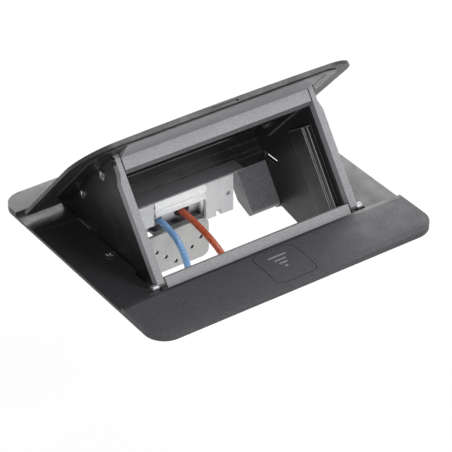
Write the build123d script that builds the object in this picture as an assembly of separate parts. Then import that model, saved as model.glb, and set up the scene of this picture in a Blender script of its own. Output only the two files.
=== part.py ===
from build123d import *
import math
import os

# Pop up desk socket: a flat base frame let into a worktop, and a wedge shaped tray under a
# full width lid. The tray turns about two pins at the rear and stands open at rest.
# Millimetres. X is the width, Y runs from the front (the button) to the rear (the hinge) and
# Z is up. The origin is the middle of the flange's underside, on the worktop.
# The lid and the tray are drawn shut and level, then turned open about the hinge line.

# ---- base frame
base_w = 150.0
base_d = 130.0
side_land_w = 22.3
front_band_w = 28.1
rear_band_w = 14.5
base_corner_r = 10.5
gasket_t = 0.5
gasket_rim_inset = 0.35
land_z = 1.9
band_rim_z = 3.0
band_crest_z = 4.7
band_inner_z = 4.2
band_side_z = 3.7
rear_band_inner_z = 3.7
rim_round_r = 0.8
open_front_y = front_band_w - base_d / 2
open_rear_y = base_d / 2 - rear_band_w
open_half_w = base_w / 2 - side_land_w
notch_out = 2.2
notch_l = 22.9
notch_half_w = open_half_w + notch_out
notch_rear_y = open_front_y + notch_l
pin_notch_out = 5.5
pin_notch_l = 7.9
pin_notch_half_w = open_half_w + pin_notch_out
pin_notch_rear_y = open_front_y + pin_notch_l
scoop_floor_z = 1.0
scoop_rim_w = 5.0
scoop_rear_gap = 17.0
scoop_edge_x = base_w / 2 - scoop_rim_w
scoop_rear_y = open_rear_y - scoop_rear_gap
seat_side_w = 14.0
seat_front_w = 1.4
seat_rear_w = 10.5
cutout_half_w = base_w / 2 - seat_side_w
cutout_front_y = seat_front_w - base_d / 2
cutout_rear_y = base_d / 2 - seat_rear_w
collar_drop = 9.0
collar_t = 1.6
collar_short_drop = 0.8
collar_short_l = 15.0
overrun = 1.0

# ---- hinge
hinge_inset = 5.0
hinge_y = open_rear_y - hinge_inset
hinge_z = -0.5
open_deg = 48.2
pin_r = 1.2
run_gap = 0.05
pin_head_r = 1.7
pin_head_t = 0.9
boss_r = 3.2
boss_t = 3.2
part_gap = 0.3

# ---- lid
lid_side_gap = 0.8
lid_half_w = base_w / 2 - lid_side_gap
lid_gap_front = 0.35
lid_under_z = 2.1
lid_edge_z = 3.6
lid_crown_z = 4.5
lid_wing_inset = 3.5
lid_tail_reach = 1.5
lid_wing_rear_y = hinge_y - lid_wing_inset
lid_tail_rear_y = hinge_y + lid_tail_reach
lid_tail_half_w = open_half_w - lid_side_gap
lid_corner_r = 18.0
lid_rear_r = 5.0
liner_inset_side = 9.2
liner_inset_rear = 13.0
liner_half_w = lid_half_w - liner_inset_side
liner_inset_front = 3.0
liner_rear_y = hinge_y - liner_inset_rear
liner_corner_r = 10.0
liner_t = 0.55
liner_slot_gap = 16.4
liner_slot_w = 0.7
liner_slot_inset = 4.9
liner_slot_l = 16.0
strike_half_w = 7.0
strike_depth = 1.0

# ---- tray, in the plane of its tilted face: v runs up the face, d runs back from it
# The face's top edge is level with the hinge. Its foot comes up to just behind the front band when
# the tray is open, which gives its height.
face_lean_deg = 12.2
face_top_back = 14.64
foot_clear = 0.91
face_top_y = open_front_y + face_top_back
lean = math.radians(face_lean_deg)
stand = math.radians(open_deg) - lean
hinge_back = hinge_y - face_top_y
crease_v = (hinge_y - open_front_y - foot_clear - hinge_back * math.cos(stand + lean)) / math.sin(
    stand)
face_foot_y = face_top_y + crease_v * math.sin(lean)
face_foot_z = hinge_z - crease_v * math.cos(lean)
hinge_v = crease_v - hinge_back * math.sin(lean)
hinge_d = hinge_back * math.cos(lean)
cheek_t = 2.0
cheek_gap = 0.7
cheek_inner_x = open_half_w - cheek_t - cheek_gap
cheek_foot_v = 0.0
cheek_rear_ahead = 7.2
cheek_rear_d = hinge_d - cheek_rear_ahead
cheek_foot_in = 12.5
cheek_foot_d = cheek_rear_d - cheek_foot_in
cheek_chamfer_v = 13.1
cheek_back_step = 5.5
cheek_back_d = cheek_rear_d + cheek_back_step
cheek_back_drop = 17.5
cheek_back_v = hinge_v - cheek_back_drop
bar_depth = 4.0
side_bar_w = 3.75
side_bar_neck_w = 2.4
side_bar_out_x = cheek_inner_x + side_bar_w

side_bar_jog_drop = 10.8
side_bar_jog_v = crease_v - side_bar_jog_drop
side_bar_jog_h = 4.5
side_bar_neck_x = cheek_inner_x + side_bar_neck_w
lower_bar_top_v = 7.2
lower_bar_foot_v = 0.4
lower_bar_t = 3.0
lower_lip_t = 1.6
upper_bar_h = 7.4
window_top_v = crease_v - upper_bar_h
bar_end_gap = 0.6
wall_end_gap = 0.25
upper_lip_t = 2.0
beam_rim = 0.6
beam_back = 5.1
rear_wall_drop = 11.3
rear_wall_foot_v = hinge_v - rear_wall_drop
rear_wall_t = 2.2
rear_wall_ridge = 1.1
ridge_steps = (4.2, 6.6, 10.7)
ridge_vs = [rear_wall_foot_v + step for step in ridge_steps]
ridge_t = 0.8
ear_w = 16.0
ear_inner_x = cheek_inner_x - ear_w
ear_foot_v = 13.9
ear_wall = 1.8
ear_foot_d = cheek_rear_d + 2 * ear_wall
ear_deep = 9.5
ear_back_d = cheek_rear_d + ear_deep
ear_slope_drop = 13.7
ear_slope_v = rear_wall_foot_v - ear_slope_drop
ear_shoulder_drop = 6.2
ear_shoulder_v = rear_wall_foot_v - ear_shoulder_drop
ear_top_deep = 5.4
ear_top_d = cheek_rear_d + ear_top_deep
ear_corner_r = 2.0
rail_front_d = 8.6
rail_back_d = 25.5
rail_groove_d = 11.0
rail_groove_w = 2.4
rail_groove_deep = 1.0
rail_t = 2.4
rail_foot_v = 4.0
rail_top_drop = 8.4
rail_top_v = window_top_v - rail_top_drop
slit_ahead = 17.3
slit_y = hinge_y - slit_ahead
slit_l = 9.8
slit_top_z = -0.6
slit_h = 2.6
stop_pin_r = 1.9
stop_pin_v = 4.2
side_bar_foot_v = stop_pin_v
stop_pin_d = 1.7
stop_pin_out = 6.6
stop_pin_inner_x = cheek_inner_x - bar_end_gap
stop_pin_outer_x = cheek_inner_x + stop_pin_out
cheek_screw_shares = (0.275, 0.653)
cheek_screw_ys = [face_top_y + share * hinge_back for share in cheek_screw_shares]
cheek_screw_z = -1.0
screw_head_r = 2.4
screw_head_t = 0.45
screw_shank_r = 1.2
screw_shank_l = 6.0
plug_drop = 0.45
plug_v = crease_v - plug_drop
plug_d = 2.0
plug_r = 1.9
plug_out = 1.2
side_flange_drop = 7.0
side_flange_t = 1.8

# ---- torsion springs round the hinge pins
pin_in = 9.6
pin_inner_x = cheek_inner_x - pin_in
coil_start_gap = 3.0
coil_wire_r = 0.25
wire_sides = 6
coil_mid_r = 1.75
coil_turns = 3
coil_start_x = pin_inner_x + coil_start_gap
coil_pitch = 1.2
coil_tray_leg = 6.6
coil_frame_leg = 4.4
lug_t = 1.6

# ---- release button, latch and their housing
button_x = 0.3
button_w = 21.2
button_front_gap = 3.2
button_rear_gap = 3.1
button_front_y = button_front_gap - base_d / 2
button_rear_y = open_front_y - button_rear_gap
button_gap = 0.3
button_corner_r = 3.2
button_skin = 1.5
button_rim_z = 1.0
button_skirt = 1.2
button_skirt_inset = 1.5
button_skirt_z = -0.3
button_travel = 2.0
latch_travel = 1.0
latch_half_w = 6.0
latch_nose_z = 2.75
latch_nose_t = 0.65
latch_out = 0.8
latch_riser_t = 0.9
latch_plate_half_w = 11.0
latch_plate_top_z = -2.7
latch_plate_t = 1.2
latch_plate_l = 13.5
latch_plate_front_y = button_rear_y - latch_plate_l
latch_window_gap = 0.3
leg_x = 7.0
leg_t = 2.0
leg_inset = 7.0
leg_rear_y = button_rear_y - leg_inset
leg_depth = 4.0
leg_foot_z = -5.4
latch_spring_r = 1.1
latch_spring_wire_r = 0.18
latch_spring_turns = 3
button_spring_r = 2.4
button_spring_wire_r = 0.3
button_spring_turns = 3
button_spring_y = (button_front_y + button_rear_y) / 2
housing_half_w = 16.0
housing_front_gap = 1.6
housing_front_y = housing_front_gap - base_d / 2
housing_floor_z = -9.2
housing_nose_z = -1.2
housing_slope_l = 9.8
housing_slope_y = housing_front_y + housing_slope_l
housing_wall = 1.3
latch_spring_l = 3.1
housing_seat_y = latch_plate_front_y - latch_spring_l
housing_ledge_x = 10.2
housing_ear_l = 5.0
housing_screw_r = 1.1
housing_screw_head_r = 2.0

# ---- clamp screws and claws
clamp_inset = 3.7
clamp_x = open_half_w + clamp_inset
clamp_y = 1.5
clamp_screw_r = 1.75
clamp_head_r = 2.9
clamp_head_t = 1.5
clamp_head_z = -0.45
clamp_screw_foot_z = -19.4
clamp_boss_r = 4.2
claw_top_z = -11.6
claw_t = 4.0
claw_l = 13.0
claw_r = 3.4
claw_tip_r = 2.4
claw_lip_t = 1.6
claw_nut_t = 2.0
claw_nut_w = 5.6

# ---- connection block, in face plane sizes
block_x0 = -32.5
block_x1 = 26.6
box_l_x1 = -17.2
box_r_x0 = 11.3
box_gap = 0.25
block_top_gap = 0.2
block_top_v = rear_wall_foot_v - block_top_gap
block_ahead = 9.0
block_front_d = cheek_rear_d - block_ahead
block_deep = 8.6
block_foot_h = 18.6
strip_mid_h = 2.2
strip_foot_h = 4.6
strip_out = 1.0
strip_t = 1.6
pocket_top_h = 2.0
pocket_deep = 4.4
pocket_sill_h = 16.6
pocket_wall = 1.6
left_box_foot_h = 12.0
left_box_step = 5.4
right_box_foot_h = 19.9
right_notch_w = 2.6
right_notch_x = 17.0
right_notch_h = 3.0
box_screw_x = 23.8
box_screw_h = 9.8
box_screw_r = 1.2
cover_t = 0.8
cover_foot_h = 9.8
blue_x = -13.0
brown_x = -0.4
entry_h = 11.9
barrel_out = 4.2
barrel_r = 1.5
barrel_l = 3.6
plate_x1 = 13.8
plate_top_h = 19.6
plate_foot_h = 41.0
plate_t = 1.6
plate_hole_shares = ((0.371, 0.573), (0.479, 0.37), (0.79, 0.37), (0.90, 0.54), (0.598, 0.16))
plate_hole_r = 1.0
plate_neck_x0 = -12.0
plate_neck_x1 = -4.0
plate_corner_r = 4.0

# ---- wires: each route's points from the middle of its terminal's mouth
wire_r = 1.6
core_r = 0.75
core_bare_l = 8.0
core_in_l = 3.6
sleeve_in = 3.8
blue_steps = ((0, 0, 0), (0, -8.4, 0), (0.2, -16.8, -3.1), (1.0, -21.8, -10.5), (1.4, -23.8, -19.3),
              (1.6, -24.0, -28.1))
brown_steps = ((0, 0, 0), (0, -8.8, 0), (0.3, -17.8, -1.5), (1.6, -25.8, -5.1), (3.6, -31.6, -11.3),
               (4.6, -33.0, -19.8))

os.makedirs("parts", exist_ok=True)


def span_box(x0, x1, y0, y1, z0, z1):
    # a block between two corners
    return Pos((x0 + x1) / 2, (y0 + y1) / 2, (z0 + z1) / 2) * Box(x1 - x0, y1 - y0, z1 - z0)


def side_plate(points, x0, x1):
    # a plate whose outline is drawn in Y and Z, between two widths
    wire = Polyline(*[(x0, y, z) for y, z in points], close=True)
    return extrude(Face(Wire(wire.edges())), amount=x1 - x0, dir=(1, 0, 0))


def rod_x(x0, x1, y, z, r):
    return Pos((x0 + x1) / 2, y, z) * Rot(0, 90, 0) * Cylinder(r, x1 - x0)


def rod_z(x, y, z0, z1, r):
    return Pos(x, y, (z0 + z1) / 2) * Cylinder(r, z1 - z0)


def round_plate(x0, x1, y0, y1, z0, z1, r):
    # an upright prism with round corners
    sketch = Pos((x0 + x1) / 2, (y0 + y1) / 2, z0) * RectangleRounded(x1 - x0, y1 - y0, r)
    return extrude(sketch, amount=z1 - z0, dir=(0, 0, 1))


def face_yz(v, d):
    # a point of the tray, shut, from its height up the face and its depth behind it
    return (face_foot_y - v * math.sin(lean) + d * math.cos(lean),
            face_foot_z + v * math.cos(lean) + d * math.sin(lean))


def face_spot(x, v, d):
    y, z = face_yz(v, d)
    return Pos(x, y, z) * Rot(face_lean_deg, 0, 0)


def face_box(x0, x1, v0, v1, d0, d1):
    spot = face_spot((x0 + x1) / 2, (v0 + v1) / 2, (d0 + d1) / 2)
    return spot * Box(x1 - x0, d1 - d0, v1 - v0)


def face_plate(points, x0, x1):
    return side_plate([face_yz(v, d) for v, d in points], x0, x1)


def opened(shape):
    # turn a piece of the tray from shut to open about the hinge line
    turn = Pos(0, hinge_y, hinge_z) * Rot(-open_deg, 0, 0) * Pos(0, -hinge_y, -hinge_z)
    return turn * shape


def mirror_x(shape):
    return mirror(shape, about=Plane.YZ)


def save(name, *shapes):
    solids = [s for shape in shapes for s in shape.solids()]
    whole = solids[0] if len(solids) == 1 else Compound(children=solids)
    export_step(whole, "parts/" + name + ".step")
    print(name, len(solids), "solids", round(sum(s.volume for s in solids), 1), "mm3")


# ---- base frame: domed bands front and rear, low lands at the sides
half_w = base_w / 2
half_d = base_d / 2
skin_z = gasket_t
rear_band_y = open_rear_y


def band_arc(y0, z0, y1, z1, crest):
    middle = (y0 + y1) / 2
    return ThreePointArc((0, y0, z0), (0, middle, crest), (0, y1, z1))


def crowned_block(side_z, top_z, half_span, y0, y1):
    # a block along Y under an arch that falls to both sides
    span = half_span + overrun
    start, reach = y0 - overrun, y1 - y0 + 2 * overrun
    arch = ThreePointArc((-span, start, side_z), (0, start, top_z), (span, start, side_z))
    sides = Polyline((span, start, side_z), (span, start, -overrun), (-span, start, -overrun),
                     (-span, start, side_z))
    return extrude(Face(Wire([*arch.edges(), *sides.edges()])), amount=reach, dir=(0, 1, 0))


front_arc = band_arc(-half_d - overrun, band_rim_z, open_front_y, band_inner_z, band_crest_z)
rear_arc = band_arc(rear_band_y, rear_band_inner_z, half_d + overrun, band_rim_z,
                    (rear_band_inner_z + band_rim_z) / 2 + rim_round_r / 2)
step_line = Polyline((0, open_front_y, band_inner_z), (0, open_front_y, land_z),
                     (0, rear_band_y, land_z), (0, rear_band_y, rear_band_inner_z))
under_line = Polyline((0, half_d + overrun, band_rim_z), (0, half_d + overrun, skin_z),
                      (0, -half_d - overrun, skin_z), (0, -half_d - overrun, band_rim_z))
side_face = Face(Wire([*front_arc.edges(), *step_line.edges(), *rear_arc.edges(),
                       *under_line.edges()]))
band_form = Pos(-half_w - overrun, 0, 0) * extrude(side_face, amount=base_w + 2 * overrun,
                                                   dir=(1, 0, 0))
crown_form = crowned_block(band_side_z, band_crest_z + gasket_t, half_w, -half_d, half_d)
outline = round_plate(-half_w, half_w, -half_d, half_d, -overrun, band_crest_z + overrun,
                      base_corner_r)
plate = band_form & crown_form & outline

# the opening, with room at its front corners for the side bars and the stop pins
opening = (
    span_box(-open_half_w, open_half_w, open_front_y, open_rear_y, -overrun, band_crest_z + overrun)
    + span_box(-notch_half_w, notch_half_w, open_front_y, notch_rear_y, -overrun,
               band_crest_z + overrun)
    + span_box(-pin_notch_half_w, pin_notch_half_w, open_front_y, pin_notch_rear_y, -overrun,
               band_crest_z + overrun))
scoop_inner_x = open_half_w
scoop_run = scoop_edge_x - scoop_inner_x
scoop_rise = land_z - scoop_floor_z
scoop_r = (scoop_run ** 2 + scoop_rise ** 2) / (2 * scoop_rise)
scoop_len = scoop_rear_y - open_front_y
scoop = (Pos(scoop_inner_x, (scoop_rear_y + open_front_y) / 2, scoop_floor_z + scoop_r)
         * Rot(90, 0, 0) * Cylinder(scoop_r, scoop_len))
button_x0 = button_x - button_w / 2
button_x1 = button_x + button_w / 2
button_hole = round_plate(button_x0 - button_gap, button_x1 + button_gap,
                          button_front_y - button_gap, button_rear_y + button_gap,
                          -overrun, band_crest_z + overrun, button_corner_r + button_gap)

# collar under the flange, bosses for the clamp screws and the hinge pins
collar_foot_z = -collar_drop


def ring_points(grow):
    return [(-pin_notch_half_w - grow, open_front_y - grow),
            (pin_notch_half_w + grow, open_front_y - grow),
            (pin_notch_half_w + grow, pin_notch_rear_y + grow),
            (notch_half_w + grow, pin_notch_rear_y + grow),
            (notch_half_w + grow, notch_rear_y + grow),
            (open_half_w + grow, notch_rear_y + grow),
            (open_half_w + grow, open_rear_y + grow),
            (-open_half_w - grow, open_rear_y + grow),
            (-open_half_w - grow, notch_rear_y + grow),
            (-notch_half_w - grow, notch_rear_y + grow),
            (-notch_half_w - grow, pin_notch_rear_y + grow),
            (-pin_notch_half_w - grow, pin_notch_rear_y + grow)]


def ring_prism(grow, z0, z1):
    wire = Polyline(*[(x, y, z0) for x, y in ring_points(grow)], close=True)
    return extrude(Face(Wire(wire.edges())), amount=z1 - z0, dir=(0, 0, 1))


collar = ring_prism(collar_t, collar_foot_z, skin_z)
bosses = [rod_z(s * clamp_x, clamp_y, collar_foot_z, skin_z, clamp_boss_r)
          for s in (-1, 1)]
hinge_bosses = []
for s in (-1, 1):
    x0, x1 = sorted((s * open_half_w, s * (open_half_w + boss_t)))
    hinge_bosses.append(rod_x(x0, x1, hinge_y, hinge_z, boss_r)
                        & span_box(x0, x1, hinge_y - boss_r, hinge_y + boss_r, hinge_z - boss_r,
                                   land_z))
    hinge_bosses.append(span_box(x0, x1, hinge_y - boss_r, hinge_y + boss_r, hinge_z, skin_z))
frame = plate + collar
for piece in bosses + hinge_bosses:
    frame = frame + piece
frame = frame - opening - ring_prism(0, collar_foot_z - overrun, skin_z)
frame = frame - button_hole - scoop - mirror_x(scoop)
# the collar is cut short at the rear of its sides, beside the slits in the cheeks
short_rear_y = hinge_y - boss_r - part_gap
for s in (-1, 1):
    x0, x1 = sorted((s * (open_half_w - overrun), s * (open_half_w + collar_t + overrun)))
    frame = frame - span_box(x0, x1, short_rear_y - collar_short_l, short_rear_y,
                             collar_foot_z - overrun, -collar_short_drop)
for s in (-1, 1):
    frame = frame - rod_z(s * clamp_x, clamp_y, collar_foot_z - overrun, land_z + overrun,
                          clamp_screw_r + run_gap)
    frame = frame - rod_z(s * clamp_x, clamp_y, clamp_head_z, land_z + overrun,
                          clamp_head_r + run_gap)
    x0, x1 = sorted((s * (open_half_w - overrun), s * (open_half_w + boss_t + overrun)))
    frame = frame - rod_x(x0, x1, hinge_y, hinge_z, pin_r)
    x0, x1 = sorted((s * (open_half_w + boss_t), s * (open_half_w + boss_t + pin_head_t + part_gap)))
    frame = frame - rod_x(x0, x1, hinge_y, hinge_z, pin_head_r + run_gap)
# pocket and slot for the latch in the wall behind the button
riser_rear_y = open_front_y - latch_out
riser_front_y = riser_rear_y - latch_riser_t
pocket_front_y = button_rear_y + button_gap - overrun
latch_top_z = latch_nose_z + latch_nose_t
frame = frame - span_box(-latch_half_w - part_gap, latch_half_w + part_gap, pocket_front_y,
                         riser_rear_y + part_gap, collar_foot_z - overrun, latch_top_z + part_gap)
frame = frame - span_box(-latch_half_w - part_gap, latch_half_w + part_gap, riser_rear_y,
                         open_front_y + overrun, latch_nose_z - part_gap, latch_top_z + part_gap)
save("base_frame", frame)

# gasket: a thin ring between the flange and the worktop, set in a little from the rim
gasket = round_plate(-half_w + gasket_rim_inset, half_w - gasket_rim_inset,
                     -half_d + gasket_rim_inset, half_d - gasket_rim_inset, 0, gasket_t,
                     base_corner_r - gasket_rim_inset)
gasket = gasket - span_box(-cutout_half_w, cutout_half_w, cutout_front_y, cutout_rear_y,
                           -overrun, gasket_t + overrun)
save("flange_gasket", gasket)

# ---- hinge pins: headed outside the bosses, running in the cheeks
pins = []
for s in (-1, 1):
    x0, x1 = sorted((s * pin_inner_x, s * (open_half_w + boss_t)))
    h0, h1 = sorted((s * (open_half_w + boss_t), s * (open_half_w + boss_t + pin_head_t)))
    pins.append(rod_x(x0, x1, hinge_y, hinge_z, pin_r) + rod_x(h0, h1, hinge_y, hinge_z, pin_head_r))
save("hinge_pins", *pins)

# ---- lid cover: crowned across its width, big corners at the front
lid_front_y = open_front_y + lid_gap_front
front_mid_y = (lid_front_y + lid_wing_rear_y) / 2
lid_block = span_box(-lid_half_w, lid_half_w, lid_front_y, lid_wing_rear_y, lid_under_z,
                     lid_crown_z + overrun)
upright = lid_block.edges().filter_by(Axis.Z).sort_by(Axis.Y)
lid_block = fillet(upright[:2], lid_corner_r)
upright = lid_block.edges().filter_by(Axis.Z).sort_by(Axis.Y)
lid_block = fillet(upright[-2:], lid_rear_r)
lid_block = lid_block + span_box(-lid_tail_half_w, lid_tail_half_w, front_mid_y, lid_tail_rear_y,
                                 lid_under_z, lid_crown_z + overrun)
lid_crown = crowned_block(lid_edge_z, lid_crown_z, lid_half_w, lid_front_y, lid_tail_rear_y)
lid = lid_block & lid_crown
# the strike: a slot in the front edge that the latch nose enters
lid = lid - span_box(-strike_half_w, strike_half_w, lid_front_y - overrun,
                     lid_front_y + strike_depth, latch_nose_z - part_gap / 2,
                     latch_top_z + part_gap / 2)
save("lid_cover", opened(lid))

# lid liner: a thin raised panel under the lid that drops into the scooped lands
liner_front_y = lid_front_y + liner_inset_front
liner = round_plate(-liner_half_w, liner_half_w, liner_front_y, liner_rear_y,
                    lid_under_z - liner_t, lid_under_z, liner_corner_r)
liner_z = lid_under_z - liner_t
# a narrow slot along each side of the liner, out beyond the cheeks
for s in (-1, 1):
    x0, x1 = sorted((s * (lid_half_w - liner_slot_gap), s * (lid_half_w - liner_slot_gap - liner_slot_w)))
    slot_y = liner_front_y + liner_slot_inset
    liner = liner - span_box(x0, x1, slot_y, slot_y + liner_slot_l, liner_z - overrun,
                             lid_under_z + overrun)
save("lid_liner", opened(liner))

# ---- cheeks: one plate each side, with a thicker bar along the front edge
under_v_front = (liner_z - face_foot_z) / math.cos(lean)
top_front = (face_foot_y - under_v_front * math.sin(lean), liner_z)


def under_line_v(d, z):
    # height up the face at which depth d reaches level z
    return (z - face_foot_z - d * math.sin(lean)) / math.cos(lean)


cheek_points = [face_yz(cheek_foot_v, 0), face_yz(cheek_foot_v, cheek_foot_d),
                face_yz(cheek_chamfer_v, cheek_rear_d), face_yz(cheek_chamfer_v, cheek_back_d),
                face_yz(cheek_back_v, cheek_back_d)]
hinge_pad_r = boss_r
cheek_points += [(hinge_y + hinge_pad_r, hinge_z - hinge_pad_r),
                 (hinge_y + hinge_pad_r, liner_z), (top_front[0], liner_z)]


def side_hole_span(s):
    return sorted((s * ear_inner_x, s * (side_bar_out_x + overrun)))


def side_bar_form(s):
    # the bar down the cheek's front edge: its top is a narrower neck, which a slope leads into
    line = [(cheek_inner_x, side_bar_foot_v), (side_bar_out_x, side_bar_foot_v),
            (side_bar_out_x, side_bar_jog_v), (side_bar_neck_x, side_bar_jog_v + side_bar_jog_h),
            (side_bar_neck_x, under_v_front), (cheek_inner_x, under_v_front)]
    wire = Polyline(*[(s * x, *face_yz(v, 0)) for x, v in line], close=True)
    bar = extrude(Face(Wire(wire.edges())), amount=bar_depth, dir=(0, math.cos(lean), math.sin(lean)))
    x0, x1 = side_hole_span(s)
    return bar - span_box(x0, x1, top_front[0] - overrun, hinge_y, liner_z, lid_under_z + bar_depth)


def pin_and_plug_holes(piece, s):
    for v, d, r in ((stop_pin_v, stop_pin_d, stop_pin_r), (plug_v, plug_d, plug_r)):
        piece = piece - rod_x(*side_hole_span(s), *face_yz(v, d), r)
    return piece


def cheek(s):
    x0, x1 = sorted((s * cheek_inner_x, s * (cheek_inner_x + cheek_t)))
    wall = side_plate(cheek_points, x0, x1) - side_bar_form(s)
    # flange along the lid for the screws, on the inside
    f0, f1 = sorted((s * (cheek_inner_x - side_flange_t), s * cheek_inner_x))
    front_y = cheek_screw_ys[0] - screw_head_r - side_flange_t
    rear_y = cheek_screw_ys[1] + screw_head_r + side_flange_t
    wall = wall + span_box(f0, f1, front_y, rear_y, liner_z - side_flange_drop, liner_z)
    # holes: hinge pin, stop pin, screws, plug
    long0, long1 = side_hole_span(s)
    wall = wall - rod_x(long0, long1, hinge_y, hinge_z, pin_r + run_gap)
    for sy in cheek_screw_ys:
        wall = wall - rod_x(long0, long1, sy, cheek_screw_z, screw_shank_r)
    wall = pin_and_plug_holes(wall, s)
    # see through slit near the rear foot, level when the tray is open
    s0, s1 = sorted((s * (cheek_inner_x - overrun), s * (cheek_inner_x + cheek_t + overrun)))
    return opened(wall) - span_box(s0, s1, slit_y - slit_l / 2, slit_y + slit_l / 2,
                                   slit_top_z - slit_h, slit_top_z)


save("left_cheek", cheek(-1))
save("right_cheek", cheek(1))
for s, name in ((-1, "left_bar"), (1, "right_bar")):
    save(name, opened(pin_and_plug_holes(side_bar_form(s), s)))

# cross head screws and the bar's end plugs
screws = []
plugs = []
stops = []
for s in (-1, 1):
    outer = cheek_inner_x + cheek_t
    h0, h1 = sorted((s * outer, s * (outer + screw_head_t)))
    t0, t1 = sorted((s * (outer - screw_shank_l), s * outer))
    for sy in cheek_screw_ys:
        screws.append(rod_x(h0, h1, sy, cheek_screw_z, screw_head_r)
                      + rod_x(t0, t1, sy, cheek_screw_z, screw_shank_r))
    y, z = face_yz(plug_v, plug_d)
    p0, p1 = sorted((s * (cheek_inner_x - bar_end_gap), s * (outer + plug_out)))
    plugs.append(rod_x(p0, p1, y, z, plug_r))
    y, z = face_yz(stop_pin_v, stop_pin_d)
    q0, q1 = sorted((s * stop_pin_inner_x, s * stop_pin_outer_x))
    stops.append(rod_x(q0, q1, y, z, stop_pin_r))
save("cheek_screws", *[opened(s) for s in screws])
save("bar_end_plugs", *[opened(s) for s in plugs])
save("stop_pins", *[opened(s) for s in stops])

# ---- upper bar: a bent section from the window's top edge to the lid
bar_x = cheek_inner_x - bar_end_gap
y_c, z_c = face_yz(crease_v, 0)
y_w, z_w = face_yz(window_top_v, 0)
y_i, z_i = face_yz(window_top_v, upper_lip_t)
y_j, z_j = face_yz(crease_v - upper_lip_t, upper_lip_t)
upper_points = [(y_w, z_w), (y_c, z_c), (liner_front_y + beam_rim, liner_z), (y_c + beam_back, liner_z),
                (y_j + upper_lip_t, z_j), (y_i, z_i)]
save("upper_bar", opened(side_plate(upper_points, -bar_x, bar_x)))

# ---- lower bar: an angle section along the window's foot
lower_points = [(lower_bar_foot_v, 0), (lower_bar_top_v, 0), (lower_bar_top_v, bar_depth + lower_bar_t),
                (lower_bar_top_v - lower_lip_t, bar_depth + lower_bar_t),
                (lower_bar_top_v - lower_lip_t, lower_bar_t), (lower_bar_foot_v, lower_bar_t)]
lower_bar = face_plate(lower_points, -bar_x, bar_x)
save("lower_bar", opened(lower_bar))

# ---- rear wall: closes the tray behind the modules, ridged, with lugs for the springs
wall_top_v = under_line_v(cheek_rear_d, liner_z)
wall_back_top_v = under_line_v(cheek_rear_d + rear_wall_t, liner_z)
wall_points = [(rear_wall_foot_v, cheek_rear_d), (wall_top_v, cheek_rear_d),
               (wall_back_top_v, cheek_rear_d + rear_wall_t),
               (rear_wall_foot_v, cheek_rear_d + rear_wall_t)]
wall_x = cheek_inner_x - wall_end_gap
rear_wall = face_plate(wall_points, -wall_x, wall_x)
for rv in ridge_vs:
    rear_wall = rear_wall + face_box(-wall_x, wall_x, rv, rv + ridge_t,
                                     cheek_rear_d - rear_wall_ridge, cheek_rear_d)
for s in (-1, 1):
    x0, x1 = sorted((s * (pin_inner_x - part_gap), s * (pin_inner_x + lug_t)))
    y0 = face_yz(wall_top_v, cheek_rear_d)[0]
    lug = side_plate([(y0 + rear_wall_t, hinge_z - boss_r + 2 * coil_wire_r),
                      (y0 + rear_wall_t, liner_z), (hinge_y + coil_mid_r, liner_z),
                      (hinge_y + coil_mid_r, hinge_z - boss_r + 2 * coil_wire_r)], x0, x1)
    rear_wall = rear_wall + lug
for s in (-1, 1):
    x0, x1 = sorted((s * (pin_inner_x - part_gap), s * (pin_inner_x + lug_t + part_gap)))
    rear_wall = rear_wall - rod_x(x0, x1, hinge_y, hinge_z, pin_r + run_gap)
save("rear_wall", opened(rear_wall))


# ---- rear ears: hollow corner posts below the rear wall, open to the rear
def ear(s):
    x0, x1 = sorted((s * ear_inner_x, s * cheek_inner_x))
    solid = face_plate([(ear_foot_v, cheek_rear_d), (rear_wall_foot_v, cheek_rear_d),
                        (rear_wall_foot_v, ear_top_d), (ear_shoulder_v, ear_back_d),
                        (ear_slope_v, ear_back_d), (ear_foot_v, ear_foot_d)], x0, x1)
    front_edges = solid.edges().filter_by(Axis.X).group_by(Axis.Z)[0].sort_by(Axis.Y)
    solid = fillet(front_edges[0], ear_corner_r)
    hollow = face_plate([(ear_foot_v + ear_wall, cheek_rear_d + ear_wall),
                         (rear_wall_foot_v - ear_wall, cheek_rear_d + ear_wall),
                         (rear_wall_foot_v - ear_wall, ear_back_d + overrun),
                         (ear_slope_v + ear_wall, ear_back_d + overrun),
                         (ear_foot_v + ear_wall, ear_foot_d + ear_wall)],
                        x0 + ear_wall, x1 - ear_wall)
    return solid - hollow


save("left_ear", opened(ear(-1)))
save("right_ear", opened(ear(1)))


# ---- clip rails: grooved strips inside the cheeks that the modules snap into
def rail(s):
    x0, x1 = sorted((s * (cheek_inner_x - rail_t), s * cheek_inner_x))
    strip = face_plate([(rail_foot_v, rail_front_d), (rail_top_v, rail_front_d),
                        (rail_top_v, rail_back_d), (rail_foot_v, rail_back_d)], x0, x1)
    g0, g1 = sorted((s * (cheek_inner_x - rail_t - overrun),
                     s * (cheek_inner_x - rail_t + rail_groove_deep)))
    return strip - face_box(g0, g1, rail_foot_v - overrun, rail_top_v + overrun,
                            rail_groove_d, rail_groove_d + rail_groove_w)


save("left_rail", opened(rail(-1)))
save("right_rail", opened(rail(1)))


# ---- coil springs: each one unbroken tube on arcs that meet in line
def helix_point(r, pitch, turn):
    angle = 2 * math.pi * turn
    return Vector(r * math.cos(angle), r * math.sin(angle), pitch * turn)


def helix_way(r, pitch, turn):
    angle = 2 * math.pi * turn
    way = Vector(-r * math.sin(angle), r * math.cos(angle), pitch / (2 * math.pi))
    return way.normalized()


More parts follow.
